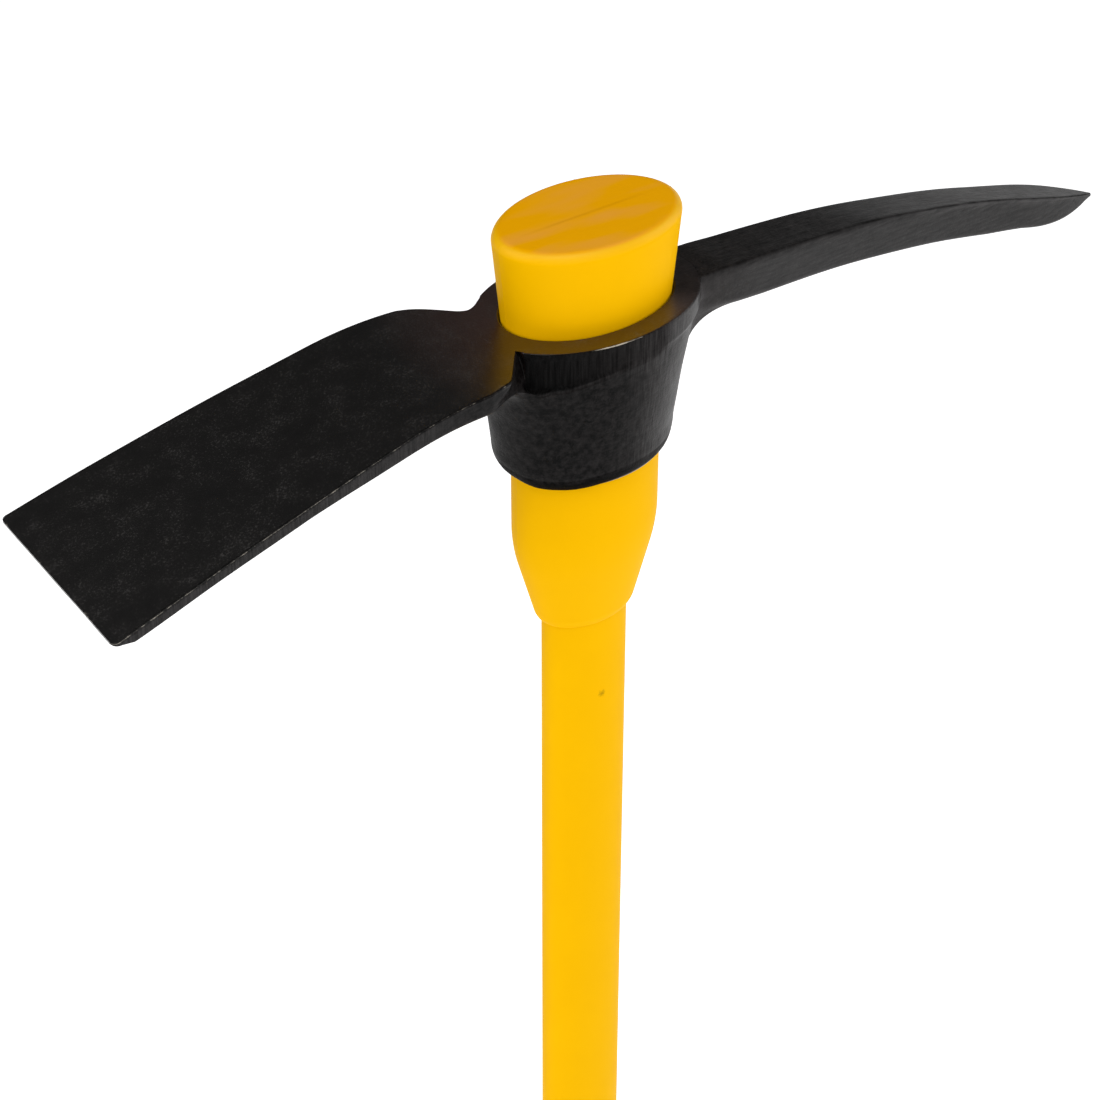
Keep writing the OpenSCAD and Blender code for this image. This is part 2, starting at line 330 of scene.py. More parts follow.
def pick_finish(p, q, reach, corner):
    """Finishes of the pick as ramps in the reach and the place round the section: rubbed edges and
    point, grey sides, a top that greys towards the point, partly as painted light where it tilts up towards
    the lamps, and thin paint all over."""
    flank = rise(np.abs(p) * (1.0 - np.abs(q)), 0.0, 0.25)
    top = rise(q, 0.5, 1.0)
    wear_and_highlight = np.maximum(0.6 * corner, 0.6 * rise(reach, 240.0, 268.0))
    # The top's grey is partly painted light, paler towards the point where the top tilts up towards the
    # lamps
    grey_and_lit = top * mix(0.33, 1.0, rise(reach, 115.0, 190.0))
    sheared = 0.28 * flank * rise(reach, 60.0, 80.0) + 0.6 * grey_and_lit
    scaled = mix(0.8, mix(0.97, 0.82, rise(reach, 105.0, 180.0)), top)
    return wear_and_highlight, sheared, 0.0, scaled


# The collar


def collar_rows():
    """Rows round the collar's wall as (half length, half width, shift along X, height): from the eye's
    upper edge out over the rim, down the sheared band, over the ledge, down the body, round its foot and
    up the eye. Returns the rows, the number of the top face's outer row, and which rows lie on the top
    face and the outer wall."""
    run = np.linspace
    face_a, face_b = RIM[0] - RIM_R, RIM[1] - RIM_R
    face = stacked(run(FACE_IN[0], face_a, 8), run(FACE_IN[1], face_b, 8), 0.0, 0.0)
    a = run(0, QUARTER, 6)[1:]
    out = RIM_R * np.sin(a)
    rim = stacked(face_a + out, face_b + out, 0.0, RIM_R * (np.cos(a) - 1.0))
    z = run(-RIM_R, BAND_LOW, 12)[1:]
    band = stacked(RIM[0] + BAND_LEAN * z, RIM[1], 0.0, z)
    z = run(BAND_LOW, LEDGE_LOW, 10)[1:]
    u = (BAND_LOW - z) / (BAND_LOW - LEDGE_LOW)
    half = mix(RIM[0] + BAND_LEAN * BAND_LOW, LEDGE[0], u)
    ledge = stacked(half, mix(RIM[1], LEDGE[1], smooth(u)), BODY_SHIFT * smooth(u), z)
    z = run(LEDGE_LOW, BODY_LOW_Z, 25)[1:]
    u = (z - BODY_LOW_Z) / (LEDGE_LOW - BODY_LOW_Z)
    half = mix(BODY_LOW[0], LEDGE[0], 0.5 * u + 0.5 * u * u)
    wide = mix(BODY_LOW[1], LEDGE[1], 1.35 * u - 0.35 * u * u)
    body = stacked(half, wide, BODY_SHIFT, z)
    a = run(0, QUARTER, 11)[1:]
    u = np.cos(a)
    z = BODY_LOW_Z - (COLLAR_H + BODY_LOW_Z) * np.sin(a)
    foot = stacked(mix(FOOT_IN[0], BODY_LOW[0], u), mix(FOOT_IN[1], BODY_LOW[1], u), BODY_SHIFT * u, z)
    u = run(0, 1, 5)[1:]
    under = stacked(mix(FOOT_IN[0], UNDER_IN[0], u), mix(FOOT_IN[1], UNDER_IN[1], u), 0.0, -COLLAR_H)
    u = run(0, 1, 13)
    z = mix(EYE_LOW_Z, EYE_TOP_Z, u)
    eye = stacked(mix(EYE_LOW[0], EYE_TOP[0], u), mix(EYE_LOW[1], EYE_TOP[1], u), 0.0, z)
    outer = np.concatenate([face, rim, band, ledge, body, foot])
    rows = np.concatenate([outer, under, eye])
    return rows, len(face) - 1, np.arange(len(rows)) < len(outer)


def collar_columns():
    """Angles of the collar's columns, even within the pick's window, the far flank, the blade's window
    and the near flank."""
    edges = np.radians([-PICK_WINDOW, PICK_WINDOW, *BLADE_WINDOW, 360.0 - PICK_WINDOW])
    counts = (N_PICK, N_FLANK, N_BLADE, N_FLANK)
    runs = [np.linspace(low, high, n, endpoint=False) for low, high, n in zip(edges, edges[1:], counts)]
    return np.concatenate(runs)


def collar_angles(column, z, on_wall):
    """Angle of each point of the collar, column by row. From the ledge down the near edge of the blade's
    window leans further round, by ramps in the height, so that the wall flows on into the neck."""
    lean_at = np.radians([BLADE_WINDOW[0], BLADE_WINDOW[1], 295.0])
    lean = np.interp(column, lean_at, np.radians([0.0, 10.0, 0.0]))
    share = rise(z, BAND_LOW, BAND_LOW - 4.0) * rise(z, -62.0, -40.0) * on_wall
    return column[:, None] + lean[:, None] * share


def off_pick(angle):
    """Angle from the pick's direction in degrees, from 0 at the pick to 180 at the blade, on either side."""
    return np.degrees(np.abs((angle + math.pi) % (2 * math.pi) - math.pi))


def sheared_relief(angle, z, on_wall):
    """Offsets of the collar where the forging's flash was sheared off: towards the blade the band is cut
    deeper and lower, and the ledge under it stands further out. The foot is a little higher on the
    pick's side and at the blade's end. Each is a ramp in the angle times a ramp in the height, and the
    ledge's torn line adds three sines of the angle."""
    turn = off_pick(angle)
    near_blade = rise(turn, 86.0, 142.0)
    torn = 0.35 * np.sin(7.0 * angle + 1.0) + 0.25 * np.sin(17.0 * angle) + 0.2 * np.sin(29.0 * angle + 2.0)
    sunk = np.interp(z, [LEDGE_LOW, BAND_LOW, -3.0, -RIM_R], [0.0, 1.0, 1.0, 0.0]) * on_wall
    proud = np.interp(z, [-40.0, -20.0, LEDGE_LOW, BAND_LOW], [0.0, 0.8, 1.0, 0.0]) * on_wall
    lower = np.interp(z, [-40.0, LEDGE_LOW, BAND_LOW, -RIM_R], [0.0, 1.0, 1.0, 0.0]) * on_wall
    out = near_blade * ((0.5 + 0.2 * torn) * proud - sunk)
    way = np.stack([np.cos(angle) / RIM[0], np.sin(angle) / RIM[1]], -1)
    way = way / np.linalg.norm(way, axis=-1, keepdims=True)
    foot = rise(z, -46.0, -66.0) * on_wall
    lift = (1.7 * rise(turn, 128.0, 88.0) + 1.3 * rise(turn, 148.0, 172.0)) * foot
    up = lift - (7.0 + torn) * near_blade * lower
    return np.stack([out * way[..., 0], out * way[..., 1], up], -1)


def collar_finish(column, angle, z, on_wall, top_row):
    """Finishes of the collar: ramps in the angle off the pick and in the height, and bells round the rim,
    some of them painted light and shade.
    """
    turn = off_pick(angle)
    under_rim = rise(z, 0.05, -0.25) * (z < 0.0) * on_wall
    # Painted highlight and rubbed wear along the rim, brightest a little left of the collar's near middle
    at = np.degrees(column)
    rubbed_and_highlit = 0.25 + 0.8 * bell(at, 258.0, 15.0) + 0.3 * bell(at, 284.0, 22.0)
    over_rim = np.array([0.1, 0.6, 1.0, 1.0, 0.7, 0.2])
    wear_and_highlight = np.zeros(angle.shape)
    wear_and_highlight[:, top_row : top_row + len(over_rim)] = rubbed_and_highlit[:, None] * over_rim
    # Shear marks run down the band, and further down the wall towards the pick, where the wall is paler too.
    # Fading them out towards the blade's side paints shade there, and the paler wall is painted light
    low = mix(-26.0, -15.0, rise(turn, 70.0, 120.0))
    scored = np.interp(turn, [50.0, 62.0, 75.0, 86.0, 100.0, 150.0], [0.85, 0.75, 0.6, 0.4, 0.2, 0.1])
    marks = scored * rise(z, low, low + 8.0) * under_rim
    paler = 0.75 * rise(turn, 105.0, 55.0) * rise(z, -74.0, -62.0) * under_rim
    # The ledge's torn crest is bare and greyer
    crest = 0.6 * bell(z, LEDGE_LOW - 0.6, 0.9) * on_wall * rise(turn, 80.0, 100.0)
    sheared = np.maximum(np.maximum(marks, paler), crest)
    # Painted shade, partly thick paint: the recess over the ledge is painted dark, and the underside of the
    # foot is painted dark as a contact shadow
    recess = np.interp(turn, [65.0, 95.0, 120.0], [0.0, 0.5, 1.0]) * under_rim
    recess = recess * rise(z, LEDGE_LOW - 0.8, LEDGE_LOW + 0.2)
    pooled_and_shaded = np.maximum(recess, rise(z, -65.0, -69.0) * on_wall)
    # It is thin over the scale of the wall, and the collar's top beside the pick has lost its gloss
    under_ledge = rise(z, LEDGE_LOW + 1.2, LEDGE_LOW - 0.4) * on_wall
    wall = np.maximum(under_ledge, 0.95 * under_rim * rise(turn, 140.0, 110.0))
    wall = wall * np.interp(turn, [55.0, 85.0, 140.0, 165.0], [0.88, 1.0, 1.0, 0.97])
    dull_top = 0.8 * rise(turn, 65.0, 30.0) * (z > -RIM_R) * on_wall
    return wear_and_highlight, sheared, pooled_and_shaded, np.maximum(wall, dull_top)


# The whole head

# An arm's side along X, its window's first column, columns across and lower edge, its tip's reach, the
# stations along it from 0 where the fillet ends to 1 at the tip, and the functions that shape and finish it
Arm = namedtuple("Arm", "side first columns low tip stations top half depth edge root finish")

PICK = Arm(
    side=1.0,
    first=0,
    columns=N_PICK,
    low=PICK_WINDOW_LOW,
    tip=PICK_REACH,
    stations=np.concatenate([np.linspace(0.0, 0.8, 70)[1:], np.linspace(0.8, 1.0, 31)[1:]]),
    top=pick_top,
    half=pick_half,
    depth=pick_depth,
    edge=pick_edge,
    root=pick_root,
    finish=pick_finish,
)
BLADE = Arm(
    side=-1.0,
    first=N_PICK + N_FLANK,
    columns=N_BLADE,
    low=BLADE_WINDOW_LOW,
    tip=BLADE_REACH,
    stations=np.concatenate(
        [np.linspace(0.0, 0.14, 40)[1:], np.linspace(0.14, 0.965, 70)[1:], np.linspace(0.965, 1.0, 14)[1:]]
    ),
    top=blade_top,
    half=blade_half,
    depth=blade_depth,
    edge=blade_edge,
    root=blade_root,
    finish=blade_finish,
)


def rounded_section(p, q, half, depth, edge):
    """Point of a rounded oblong: the square's edge point (p, q) is scaled to the oblong, held to the
    inner oblong that is smaller by the edge radius, and pushed out from there by that radius. Returns
    across, height under the top, and how far round a corner the point is, from 0 on a flat to 1 at the
    middle of the corner."""
    h = depth / 2.0
    r = np.minimum(edge, 0.96 * np.minimum(half, h))
    across, up = p * half, q * h
    in_across = np.clip(across, r - half, half - r)
    in_up = np.clip(up, r - h, h - r)
    out_across, out_up = across - in_across, up - in_up
    length = np.hypot(out_across, out_up)
    corner = 2.0 * np.minimum(np.abs(out_across), np.abs(out_up)) / length / math.sqrt(2.0)
    return in_across + r * out_across / length, in_up + r * out_up / length - h, corner


def section_ring(n_top, n_side):
    """Edge points of a square in order: top from far to near, near side down, underside, far side up."""
    run, drop = crowded(n_top), crowded(n_side + 2)[1:-1]
    p = np.concatenate([run, -np.ones(n_side), -run, np.ones(n_side)])
    q = np.concatenate([np.ones(n_top), drop, -np.ones(n_top), -drop])
    return p, q


def window_ring(number, across, top_row, low_row):
    """Vertex numbers round a window's edge in section_ring's order, for columns from far to near."""
    down = np.arange(top_row + 1, low_row)
    top, near = number[across, top_row], number[across[-1], down]
    under, far = number[across[::-1], low_row], number[across[0], down[::-1]]
    return np.concatenate([top, near, under, far])


def wall_reach(outer, across, z, side):
    """Reach along X of the collar's outer wall at a height and a distance across: half length times the
    root of one less the squared share of the half width, plus the shift."""
    order = np.argsort(outer[:, 3])
    a, b, shift = (np.interp(z, outer[order, 3], outer[order, k]) for k in range(3))
    return a * np.sqrt(np.clip(1.0 - (across / b) ** 2, 0.0, 1.0)) + side * shift


def arm_grid(arm, start, outer, p, q):
    """Grid of an arm, stations along it by points round it, and how far round a section's corner each
    point is. Each line starts at its point on the collar, rounds the corner where the arm's own line
    meets the wall by a quadratic curve, drawn towards the corner itself where crisp is high and away
    from it where fill is high, and then runs out to the tip on the arm's sections. The corner can lie a
    little past the wall."""
    fillet, crisp, fill, past = arm.root(p, q)

    def at(s):
        across, under, corner = rounded_section(p, q, arm.half(s, p, q), arm.depth(s), arm.edge(s, q))
        return np.stack([arm.side * s, across, arm.top(s) + under], -1), corner

    # Four rounds settle the reach at which each line meets the wall, just under the rim at the highest
    reach = start[:, 0] * arm.side
    for _ in range(4):
        meet = at(reach)[0]
        reach = wall_reach(outer, meet[:, 1], np.minimum(meet[:, 2], -0.3), arm.side)
    meet = at(reach + past)[0]
    leave = at(reach + fillet)[0]
    meet = mix(meet, (start + leave) / 2.0, fill[:, None])
    t = np.linspace(0.0, 1.0, 13)[1:, None, None]
    curve = (1 - t) ** 2 * start + 2 * t * (1 - t) * meet + t**2 * leave
    bent = np.where(t < 0.5, mix(start, meet, 2 * t), mix(meet, leave, 2 * t - 1))
    rounded = mix(curve, bent, crisp[None, :, None])
    out, corner = at(mix((reach + fillet)[None, :], arm.tip, arm.stations[:, None]))
    return np.concatenate([rounded, out]), np.concatenate([np.zeros(rounded.shape[:2]), corner])


def tip_faces(ring, n_top, n_side):
    """Faces that close an arm's last ring: a strip from its top to its underside, and one at each side."""
    top = ring[:n_top]
    under = ring[n_top + n_side : 2 * n_top + n_side][::-1]
    strip = cells(np.stack([top, under]))[0].tolist()
    near = ring[n_top - 1 : n_top + n_side + 1].tolist()
    far = ring[2 * n_top + n_side - 1 :].tolist() + [int(ring[0])]
    return strip + [near, far]


def hammered(points):
    """Height of the forging's slight waves at each point: three sines of the position, 30 to 60 mm long."""
    x, y, z = points.T
    return 0.04 * (
        np.sin(x / 9.1 + 1.3 * np.sin(y / 7.3))
        + np.sin(y / 5.4 + x / 14.7 + 1.1 * np.sin(z / 6.7))
        + np.sin(z / 5.1 - x / 11.5 + 0.7 * np.sin(y / 5.9))
    )


def head_skin():
    """The whole forging as one closed skin. The collar is a grid of ovals, angle by row, closed both
    ways. A window is left in it at each end, and an arm's grid grows out of the window's edge to its
    tip. Returns points, faces and the points' finishes, one row each."""
    rows, top_row, on_wall = collar_rows()
    outer = rows[on_wall][top_row:]
    a, b, shift, z = rows.T
    column = collar_columns()
    angle = collar_angles(column, z, on_wall)
    collar = stacked(a * np.cos(angle) + shift, b * np.sin(angle), z) + sheared_relief(angle, z, on_wall)
    number = np.arange(angle.size).reshape(angle.shape)
    quads = cells(number, True, True)
    keep = np.ones(quads.shape[:2], bool)
    points = [collar.reshape(-1, 3)]
    finish = [stacked(*collar_finish(column, angle, z, on_wall, top_row)).reshape(-1, len(FINISHES))]
    faces = []
    for arm in (PICK, BLADE):
        low_row = top_row + int(np.argmin(np.abs(outer[:, 3] - arm.low)))
        keep[arm.first : arm.first + arm.columns, top_row:low_row] = False
        # The collar's angle runs from near to far at the pick and from far to near at the blade
        across = np.arange(arm.first, arm.first + arm.columns + 1)
        edge = window_ring(number, across[::-1] if arm.side > 0 else across, top_row, low_row)
        n_top, n_side = arm.columns + 1, low_row - top_row - 1
        p, q = section_ring(n_top, n_side)
        grid, corner = arm_grid(arm, points[0][edge], outer, p, q)
        ids = sum(len(block) for block in points) + np.arange(corner.size).reshape(corner.shape)
        ids = np.concatenate([edge[None], ids])
        faces += cells(ids, False, True).reshape(-1, 4).tolist()
        faces += tip_faces(ids[-1], n_top, n_side)
        points.append(grid.reshape(-1, 3))
        finish.append(stacked(*arm.finish(p, q, np.abs(grid[..., 0]), corner)).reshape(-1, len(FINISHES)))
    faces = quads[keep].tolist() + faces
    # Points that lie inside the windows belong to no face and are dropped
    used = np.unique(np.concatenate([np.asarray(face) for face in faces]))
    place = np.zeros(sum(len(block) for block in points), int)
    place[used] = np.arange(len(used))
    faces = [place[np.asarray(face)].tolist() for face in faces]
    points = np.concatenate(points)[used] + [0.0, 0.0, HEAD_Z]
    return points, faces, np.concatenate(finish)[used].T


def forged_head(steel):
    """The head: its skin, waved slightly along its normals, with its finishes as point attributes."""
    points, faces, finishes = head_skin()
    head = make_piece("forged_head", points, faces, STEEL_CREASE, steel, "head", "head")
    normal = np.zeros(points.size)
    head.data.vertices.foreach_get("normal", normal)
    points = points + hammered(points)[:, None] * normal.reshape(-1, 3)
    head.data.vertices.foreach_set("co", (points * MM).reshape(-1))
    for label, share in zip(FINISHES, finishes):
        layer = head.data.attributes.new(label, "FLOAT", "POINT")
        layer.data.foreach_set("value", share.astype(np.float32))
    head.data.update()


# The handle


def oval_wall(rows, angle, ridge=0.0):
    """Points of stacked ovals, row by angle: half axes a and b at height z. A ridge stands out at the
    long axis's two ends, where a mould's halves meet."""
    a, b, z = rows.T[:, :, None]
    line = ridge * (np.abs(np.sin(angle)) < 1e-6)
    return stacked((a + line) * np.cos(angle), b * np.sin(angle), z)


def oval_skin(rows, angle, ridge=0.0):
    """Closed skin of stacked ovals, whose first and last rows close on a point of the axis. Returns
    points and faces."""
    n = len(angle)
    number = np.arange(len(rows) * n).reshape(len(rows), n)
    faces = cells(number, False, True).reshape(-1, 4).tolist()
    after = np.roll(number, -1, 1)
    faces += stacked(number.size, number[0], after[0]).tolist()
    faces += stacked(number.size + 1, after[-1], number[-1]).tolist()
    poles = np.array([[0.0, 0.0, rows[0, 2]], [0.0, 0.0, rows[-1, 2]]])
    return np.concatenate([oval_wall(rows, angle, ridge).reshape(-1, 3), poles]), faces


def oval_rows(half, z, ratio):
    """Rows (a, b, z) of ovals with one ratio of axes."""
    half = np.asarray(half, float)
    return stacked(half, half * ratio, z)


def tube_rows(size, gap, z):
    """Rows (a, b, z) of one oval, larger all round by a gap, at each height."""
    return stacked(size[0] + gap, size[1] + gap, z)


def round_angles(n, split=0.0):
    """n even angles round a turn, and one more on each side of the long axis's ends if split is given."""
    even = np.linspace(0.0, 2.0 * math.pi, n, endpoint=False)
    beside = [split, math.pi - split, math.pi + split, 2 * math.pi - split] if split else []
    return np.sort(np.concatenate([even, beside]))


def eye_moulding(yellow):
    """The moulding's skin: out over the plug's top, round its rim, down the flare and the taper through
    the eye, down the straight boss, round its shoulder, down its taper, round its foot to the lip, and
    up the socket that holds the jacket and the core."""
    run = np.linspace
    flat_a, rim_low = PLUG_TOP_A - PLUG_RIM_R, HANDLE_LEN - PLUG_RIM_R
    top = oval_rows(run(3.0, flat_a, 16), HANDLE_LEN, EYE_RATIO)
    a = run(0, QUARTER, 12)[1:]
    rim = oval_rows(flat_a + PLUG_RIM_R * np.sin(a), rim_low + PLUG_RIM_R * np.cos(a), EYE_RATIO)
    z = run(rim_low, HEAD_Z, 22)[1:]
    plug = oval_rows(np.interp(z, [HEAD_Z, rim_low], [PLUG_FOOT_A, PLUG_TOP_A]), z, EYE_RATIO)
    z = run(HEAD_Z, SEAT_LOW, 10)[1:]
    seat = oval_rows(np.interp(z, [SEAT_LOW, HEAD_Z], [SEAT_LOW_A, PLUG_FOOT_A]), z, EYE_RATIO)
    boss = oval_rows(BOSS_A, run(COLLAR_LOW, BOSS_TOP, 12), EYE_RATIO)
    a = run(0, BOSS_SLOPE, 14)[1:]
    shoulder_a = BOSS_A - SHOULDER_R * (1 - np.cos(a))
    shoulder = oval_rows(shoulder_a, BOSS_TOP - SHOULDER_R * np.sin(a), EYE_RATIO)
    foot_end = BOSS_SLOPE + FOOT_TURN
    a = run(BOSS_SLOPE, foot_end, 12)
    foot_a = LIP_A + FOOT_R * (np.cos(a) - math.cos(foot_end))
    foot = oval_rows(foot_a, BOSS_LOW + FOOT_R * (math.sin(foot_end) - np.sin(a)), EYE_RATIO)
    taper = mix(shoulder[-1], foot[0], run(0, 1, 14)[1:-1, None])
    lip = oval_rows([LIP_A - LIP_IN], BOSS_LOW - LIP_DROP, EYE_RATIO)
    jacket = tube_rows(SHAFT, BOND, run(BOSS_LOW, JACKET_TOP, 4))
    core = tube_rows(CORE, BOND, run(JACKET_TOP, CORE_TOP, 4))
    rows = np.concatenate([top, rim, plug, seat, boss, shoulder, taper, foot, lip, jacket, core])
    points, faces = oval_skin(rows, round_angles(160, PARTING_HALF), PARTING_RIDGE)
    make_piece(
        "eye_moulding_skin", points, faces, PLASTIC_CREASE, yellow,
        "handle", "eye_moulding",
    )


def shaft_jacket(yellow):
    """The jacket's skin: a plain oval tube, outside up and inside down, closed at both ends by rings."""
    outer = tube_rows(SHAFT, 0.0, np.linspace(BUTT_FLOOR, JACKET_TOP, 60))
    inner = tube_rows(CORE, BOND, np.linspace(JACKET_TOP, BUTT_FLOOR, 4))
    rows, angle = np.concatenate([outer, inner]), round_angles(128)
    number = np.arange(len(rows) * len(angle)).reshape(len(rows), len(angle))
    faces = cells(number, True, True).reshape(-1, 4).tolist()
    points = oval_wall(rows, angle).reshape(-1, 3)
    make_piece(
        "shaft_jacket_skin", points, faces, PLASTIC_CREASE, yellow,
        "handle", "shaft_jacket",
    )


def butt_cap(yellow):
    """The cap's skin: across its flat foot, round the lower edge, up the side, round the lip and down
    into its socket."""
    run = np.linspace
    ratio = BUTT[1] / BUTT[0]
    low_a, lip_a, lip_z = BUTT[0] - BUTT_LOW_R, BUTT[0] - BUTT_LIP_R, BUTT_H - BUTT_LIP_R
    foot = oval_rows(run(2.0, low_a - 0.5, 6), 0.0, ratio)
    a = run(0, QUARTER, 9)
    low = oval_rows(low_a + BUTT_LOW_R * np.sin(a), BUTT_LOW_R * (1 - np.cos(a)), ratio)
    side = oval_rows(BUTT[0], run(BUTT_LOW_R, lip_z, 12)[1:], ratio)
    a = run(0, QUARTER, 7)[1:]
    lip = oval_rows(lip_a + BUTT_LIP_R * np.cos(a), lip_z + BUTT_LIP_R * np.sin(a), ratio)
    socket = tube_rows(SHAFT, BOND, run(BUTT_H, BUTT_FLOOR, 5))
    points, faces = oval_skin(np.concatenate([foot, low, side, lip, socket]), round_angles(128))
    make_piece(
        "butt_cap_skin", points, faces, PLASTIC_CREASE, yellow,
        "handle", "butt_cap",
    )


# Materials. Lengths in them are metres


def colour(code):
    """Linear colour of an sRGB hex code: each channel through the sRGB curve."""
    channel = np.array([int(code[i : i + 2], 16) for i in (1, 3, 5)]) / 255.0
    linear = np.where(channel <= 0.04045, channel / 12.92, ((channel + 0.055) / 1.055) ** 2.4)
    return (*linear.tolist(), 1.0)


def add(tree, kind, values=None, links=None, **settings):
    """Adds a node: settings are its properties, values its sockets' constants, links their sources."""
    node = tree.nodes.new(kind)
    for key, value in settings.items():
        setattr(node, key, value)
    for key, value in (values or {}).items():
        node.inputs[key].default_value = value
    for key, source in (links or {}).items():
        tree.links.new(source, node.inputs[key])
    return node


def start_material(name):
    """A new node material with its shader and the piece's own coordinates."""
    material = bpy.data.materials.new(name)
    material.use_nodes = True
    tree = material.node_tree
    place = add(tree, "ShaderNodeTexCoord").outputs["Object"]
    return material, tree, tree.nodes["Principled BSDF"], place


def black_lacquered_steel():
    """Forged steel under black paint and a thin clear lacquer: nearly black, with the scale's grain catching
    the light as pale specks painted as glints, greyer and finely scored where the flash was sheared off,
    rubbed bright along edges with a painted highlight along the rim, browned round the eye partly as a
    painted reflection of the plug, and darkened as painted shade in the recess over the ledge and under the
    foot."""
    material, tree, shader, place = start_material("black_lacquered_steel")
    noise, span, calc, blend = "ShaderNodeTexNoise", "ShaderNodeMapRange", "ShaderNodeMath", "ShaderNodeMix"
    stretch, vector = "ShaderNodeMapping", "ShaderNodeVectorMath"
    rgb = {"data_type": "RGBA"}
    shares = [add(tree, "ShaderNodeAttribute", attribute_name=label).outputs["Fac"] for label in FINISHES]
    wear_and_highlight, sheared, pooled_and_shaded, scaled = shares
    # Scale marks about 11 mm across, a mottle of 3 mm, grain of 0.9 mm
    coarse = {"Scale": 1 / 0.011, "Detail": 4.0, "Roughness": 0.6}
    marks = add(tree, noise, coarse, {"Vector": place}).outputs[0]
    fine = {"Scale": 1 / 0.003, "Detail": 4.0, "Roughness": 0.65}
    mottle = add(tree, noise, fine, {"Vector": place}).outputs[0]
    finest = {"Scale": 1 / 0.0009, "Detail": 3.0, "Roughness": 0.7}
    grain = add(tree, noise, finest, {"Vector": place}).outputs[0]
    # Drawn marks 1.4 mm wide and 10 mm long along the arms, shear marks 0.8 mm wide and 14 mm high
    along = add(tree, stretch, {"Scale": (1.0, 7.0, 7.0)}, {"Vector": place}).outputs[0]
    drawn = add(tree, noise, {"Scale": 1 / 0.010, "Detail": 3.0}, {"Vector": along}).outputs[0]
    upright = add(tree, stretch, {"Scale": (1.0, 1.0, 0.06)}, {"Vector": place}).outputs[0]
    shear = add(tree, noise, {"Scale": 1 / 0.0008, "Detail": 2.0}, {"Vector": upright}).outputs[0]
    # Sheared steel shows the upright marks, and from 60 mm out on the pick the lengthwise ones
    x = add(tree, "ShaderNodeSeparateXYZ", None, {0: place}).outputs["X"]
    on_pick = add(tree, span, {"From Min": 0.052, "From Max": 0.068}, {"Value": x}).outputs[0]
    score = add(tree, blend, None, {"Factor": on_pick, "A": shear, "B": drawn}).outputs["Result"]
    # Black paint, whose film is stained brown round the eye and clear again 85 mm from the axis. The brown
    # is partly a painted reflection of the yellow plug on the rim
    blacks = {"A": colour("#070606"), "B": colour("#12100f")}
    black = add(tree, blend, blacks, {"Factor": marks}, **rgb).outputs["Result"]
    flat = add(tree, vector, {1: (1.0, 1.0, 0.0)}, {0: place}, operation="MULTIPLY").outputs[0]
    radius = add(tree, vector, None, {0: flat}, operation="LENGTH").outputs["Value"]
    stain_and_reflection = add(tree, span, {"From Min": 0.085, "From Max": 0.03}, {"Value": radius}).outputs[0]
    brown = {"B": colour("#280f06")}
    film = add(tree, blend, brown, {"Factor": stain_and_reflection, "A": black}, **rgb).outputs["Result"]
    # Under thin paint the scale shows as the mottle
    mottle_tone = add(tree, span, {"From Min": 0.38, "From Max": 0.66}, {"Value": mottle}).outputs[0]
    scales = {"A": colour("#020202"), "B": colour("#1d1b1b")}
    skin = add(tree, blend, scales, {"Factor": mottle_tone}, **rgb).outputs["Result"]
    thin = add(tree, blend, None, {"Factor": scaled, "A": film, "B": skin}, **rgb).outputs["Result"]
    # Painted glints: specks show where the grain stands highest, more of them where the scale marks are pale
    high = add(tree, calc, {1: 0.45}, {0: marks, 2: grain}, operation="MULTIPLY_ADD").outputs[0]
    peak = add(tree, span, {"From Min": 0.79, "From Max": 1.0}, {"Value": high}).outputs[0]
    calm = add(tree, calc, {1: -0.75, 2: 1.0}, {0: scaled}, operation="MULTIPLY_ADD").outputs[0]
    glint_speck = add(tree, calc, None, {0: peak, 1: calm}, operation="MULTIPLY").outputs[0]
    glint_grey = {"B": colour("#3a3837")}
    pale = add(tree, blend, glint_grey, {"Factor": glint_speck, "A": thin}, **rgb).outputs["Result"]
    # Thick paint and painted shade are near black, and sheared steel grey between its marks
    shade_black = {"B": colour("#030303")}
    shaded_tone = add(tree, blend, shade_black, {"Factor": pooled_and_shaded, "A": pale}, **rgb).outputs["Result"]
    score_tone = add(tree, span, {"From Min": 0.22, "From Max": 0.78}, {"Value": score}).outputs[0]
    greys = {"A": colour("#0a0909"), "B": colour("#484646")}
    grey = add(tree, blend, greys, {"Factor": score_tone}, **rgb).outputs["Result"]
    cut = add(tree, blend, None, {"Factor": sheared, "A": shaded_tone, "B": grey}, **rgb).outputs["Result"]
    # Rubbed edges and the rim's painted highlight are broken up by the mottle
    rub_highlight_height = add(tree, calc, None, {0: wear_and_highlight, 1: mottle}, operation="ADD").outputs[0]
    rub_highlight_share = add(tree, span, {"From Min": 1.25, "From Max": 1.6}, {"Value": rub_highlight_height}).outputs[0]
    bright = {"B": colour("#b4ada0")}
    tone = add(tree, blend, bright, {"Factor": rub_highlight_share, "A": cut}, **rgb).outputs["Result"]
    tree.links.new(tone, shader.inputs["Base Color"])
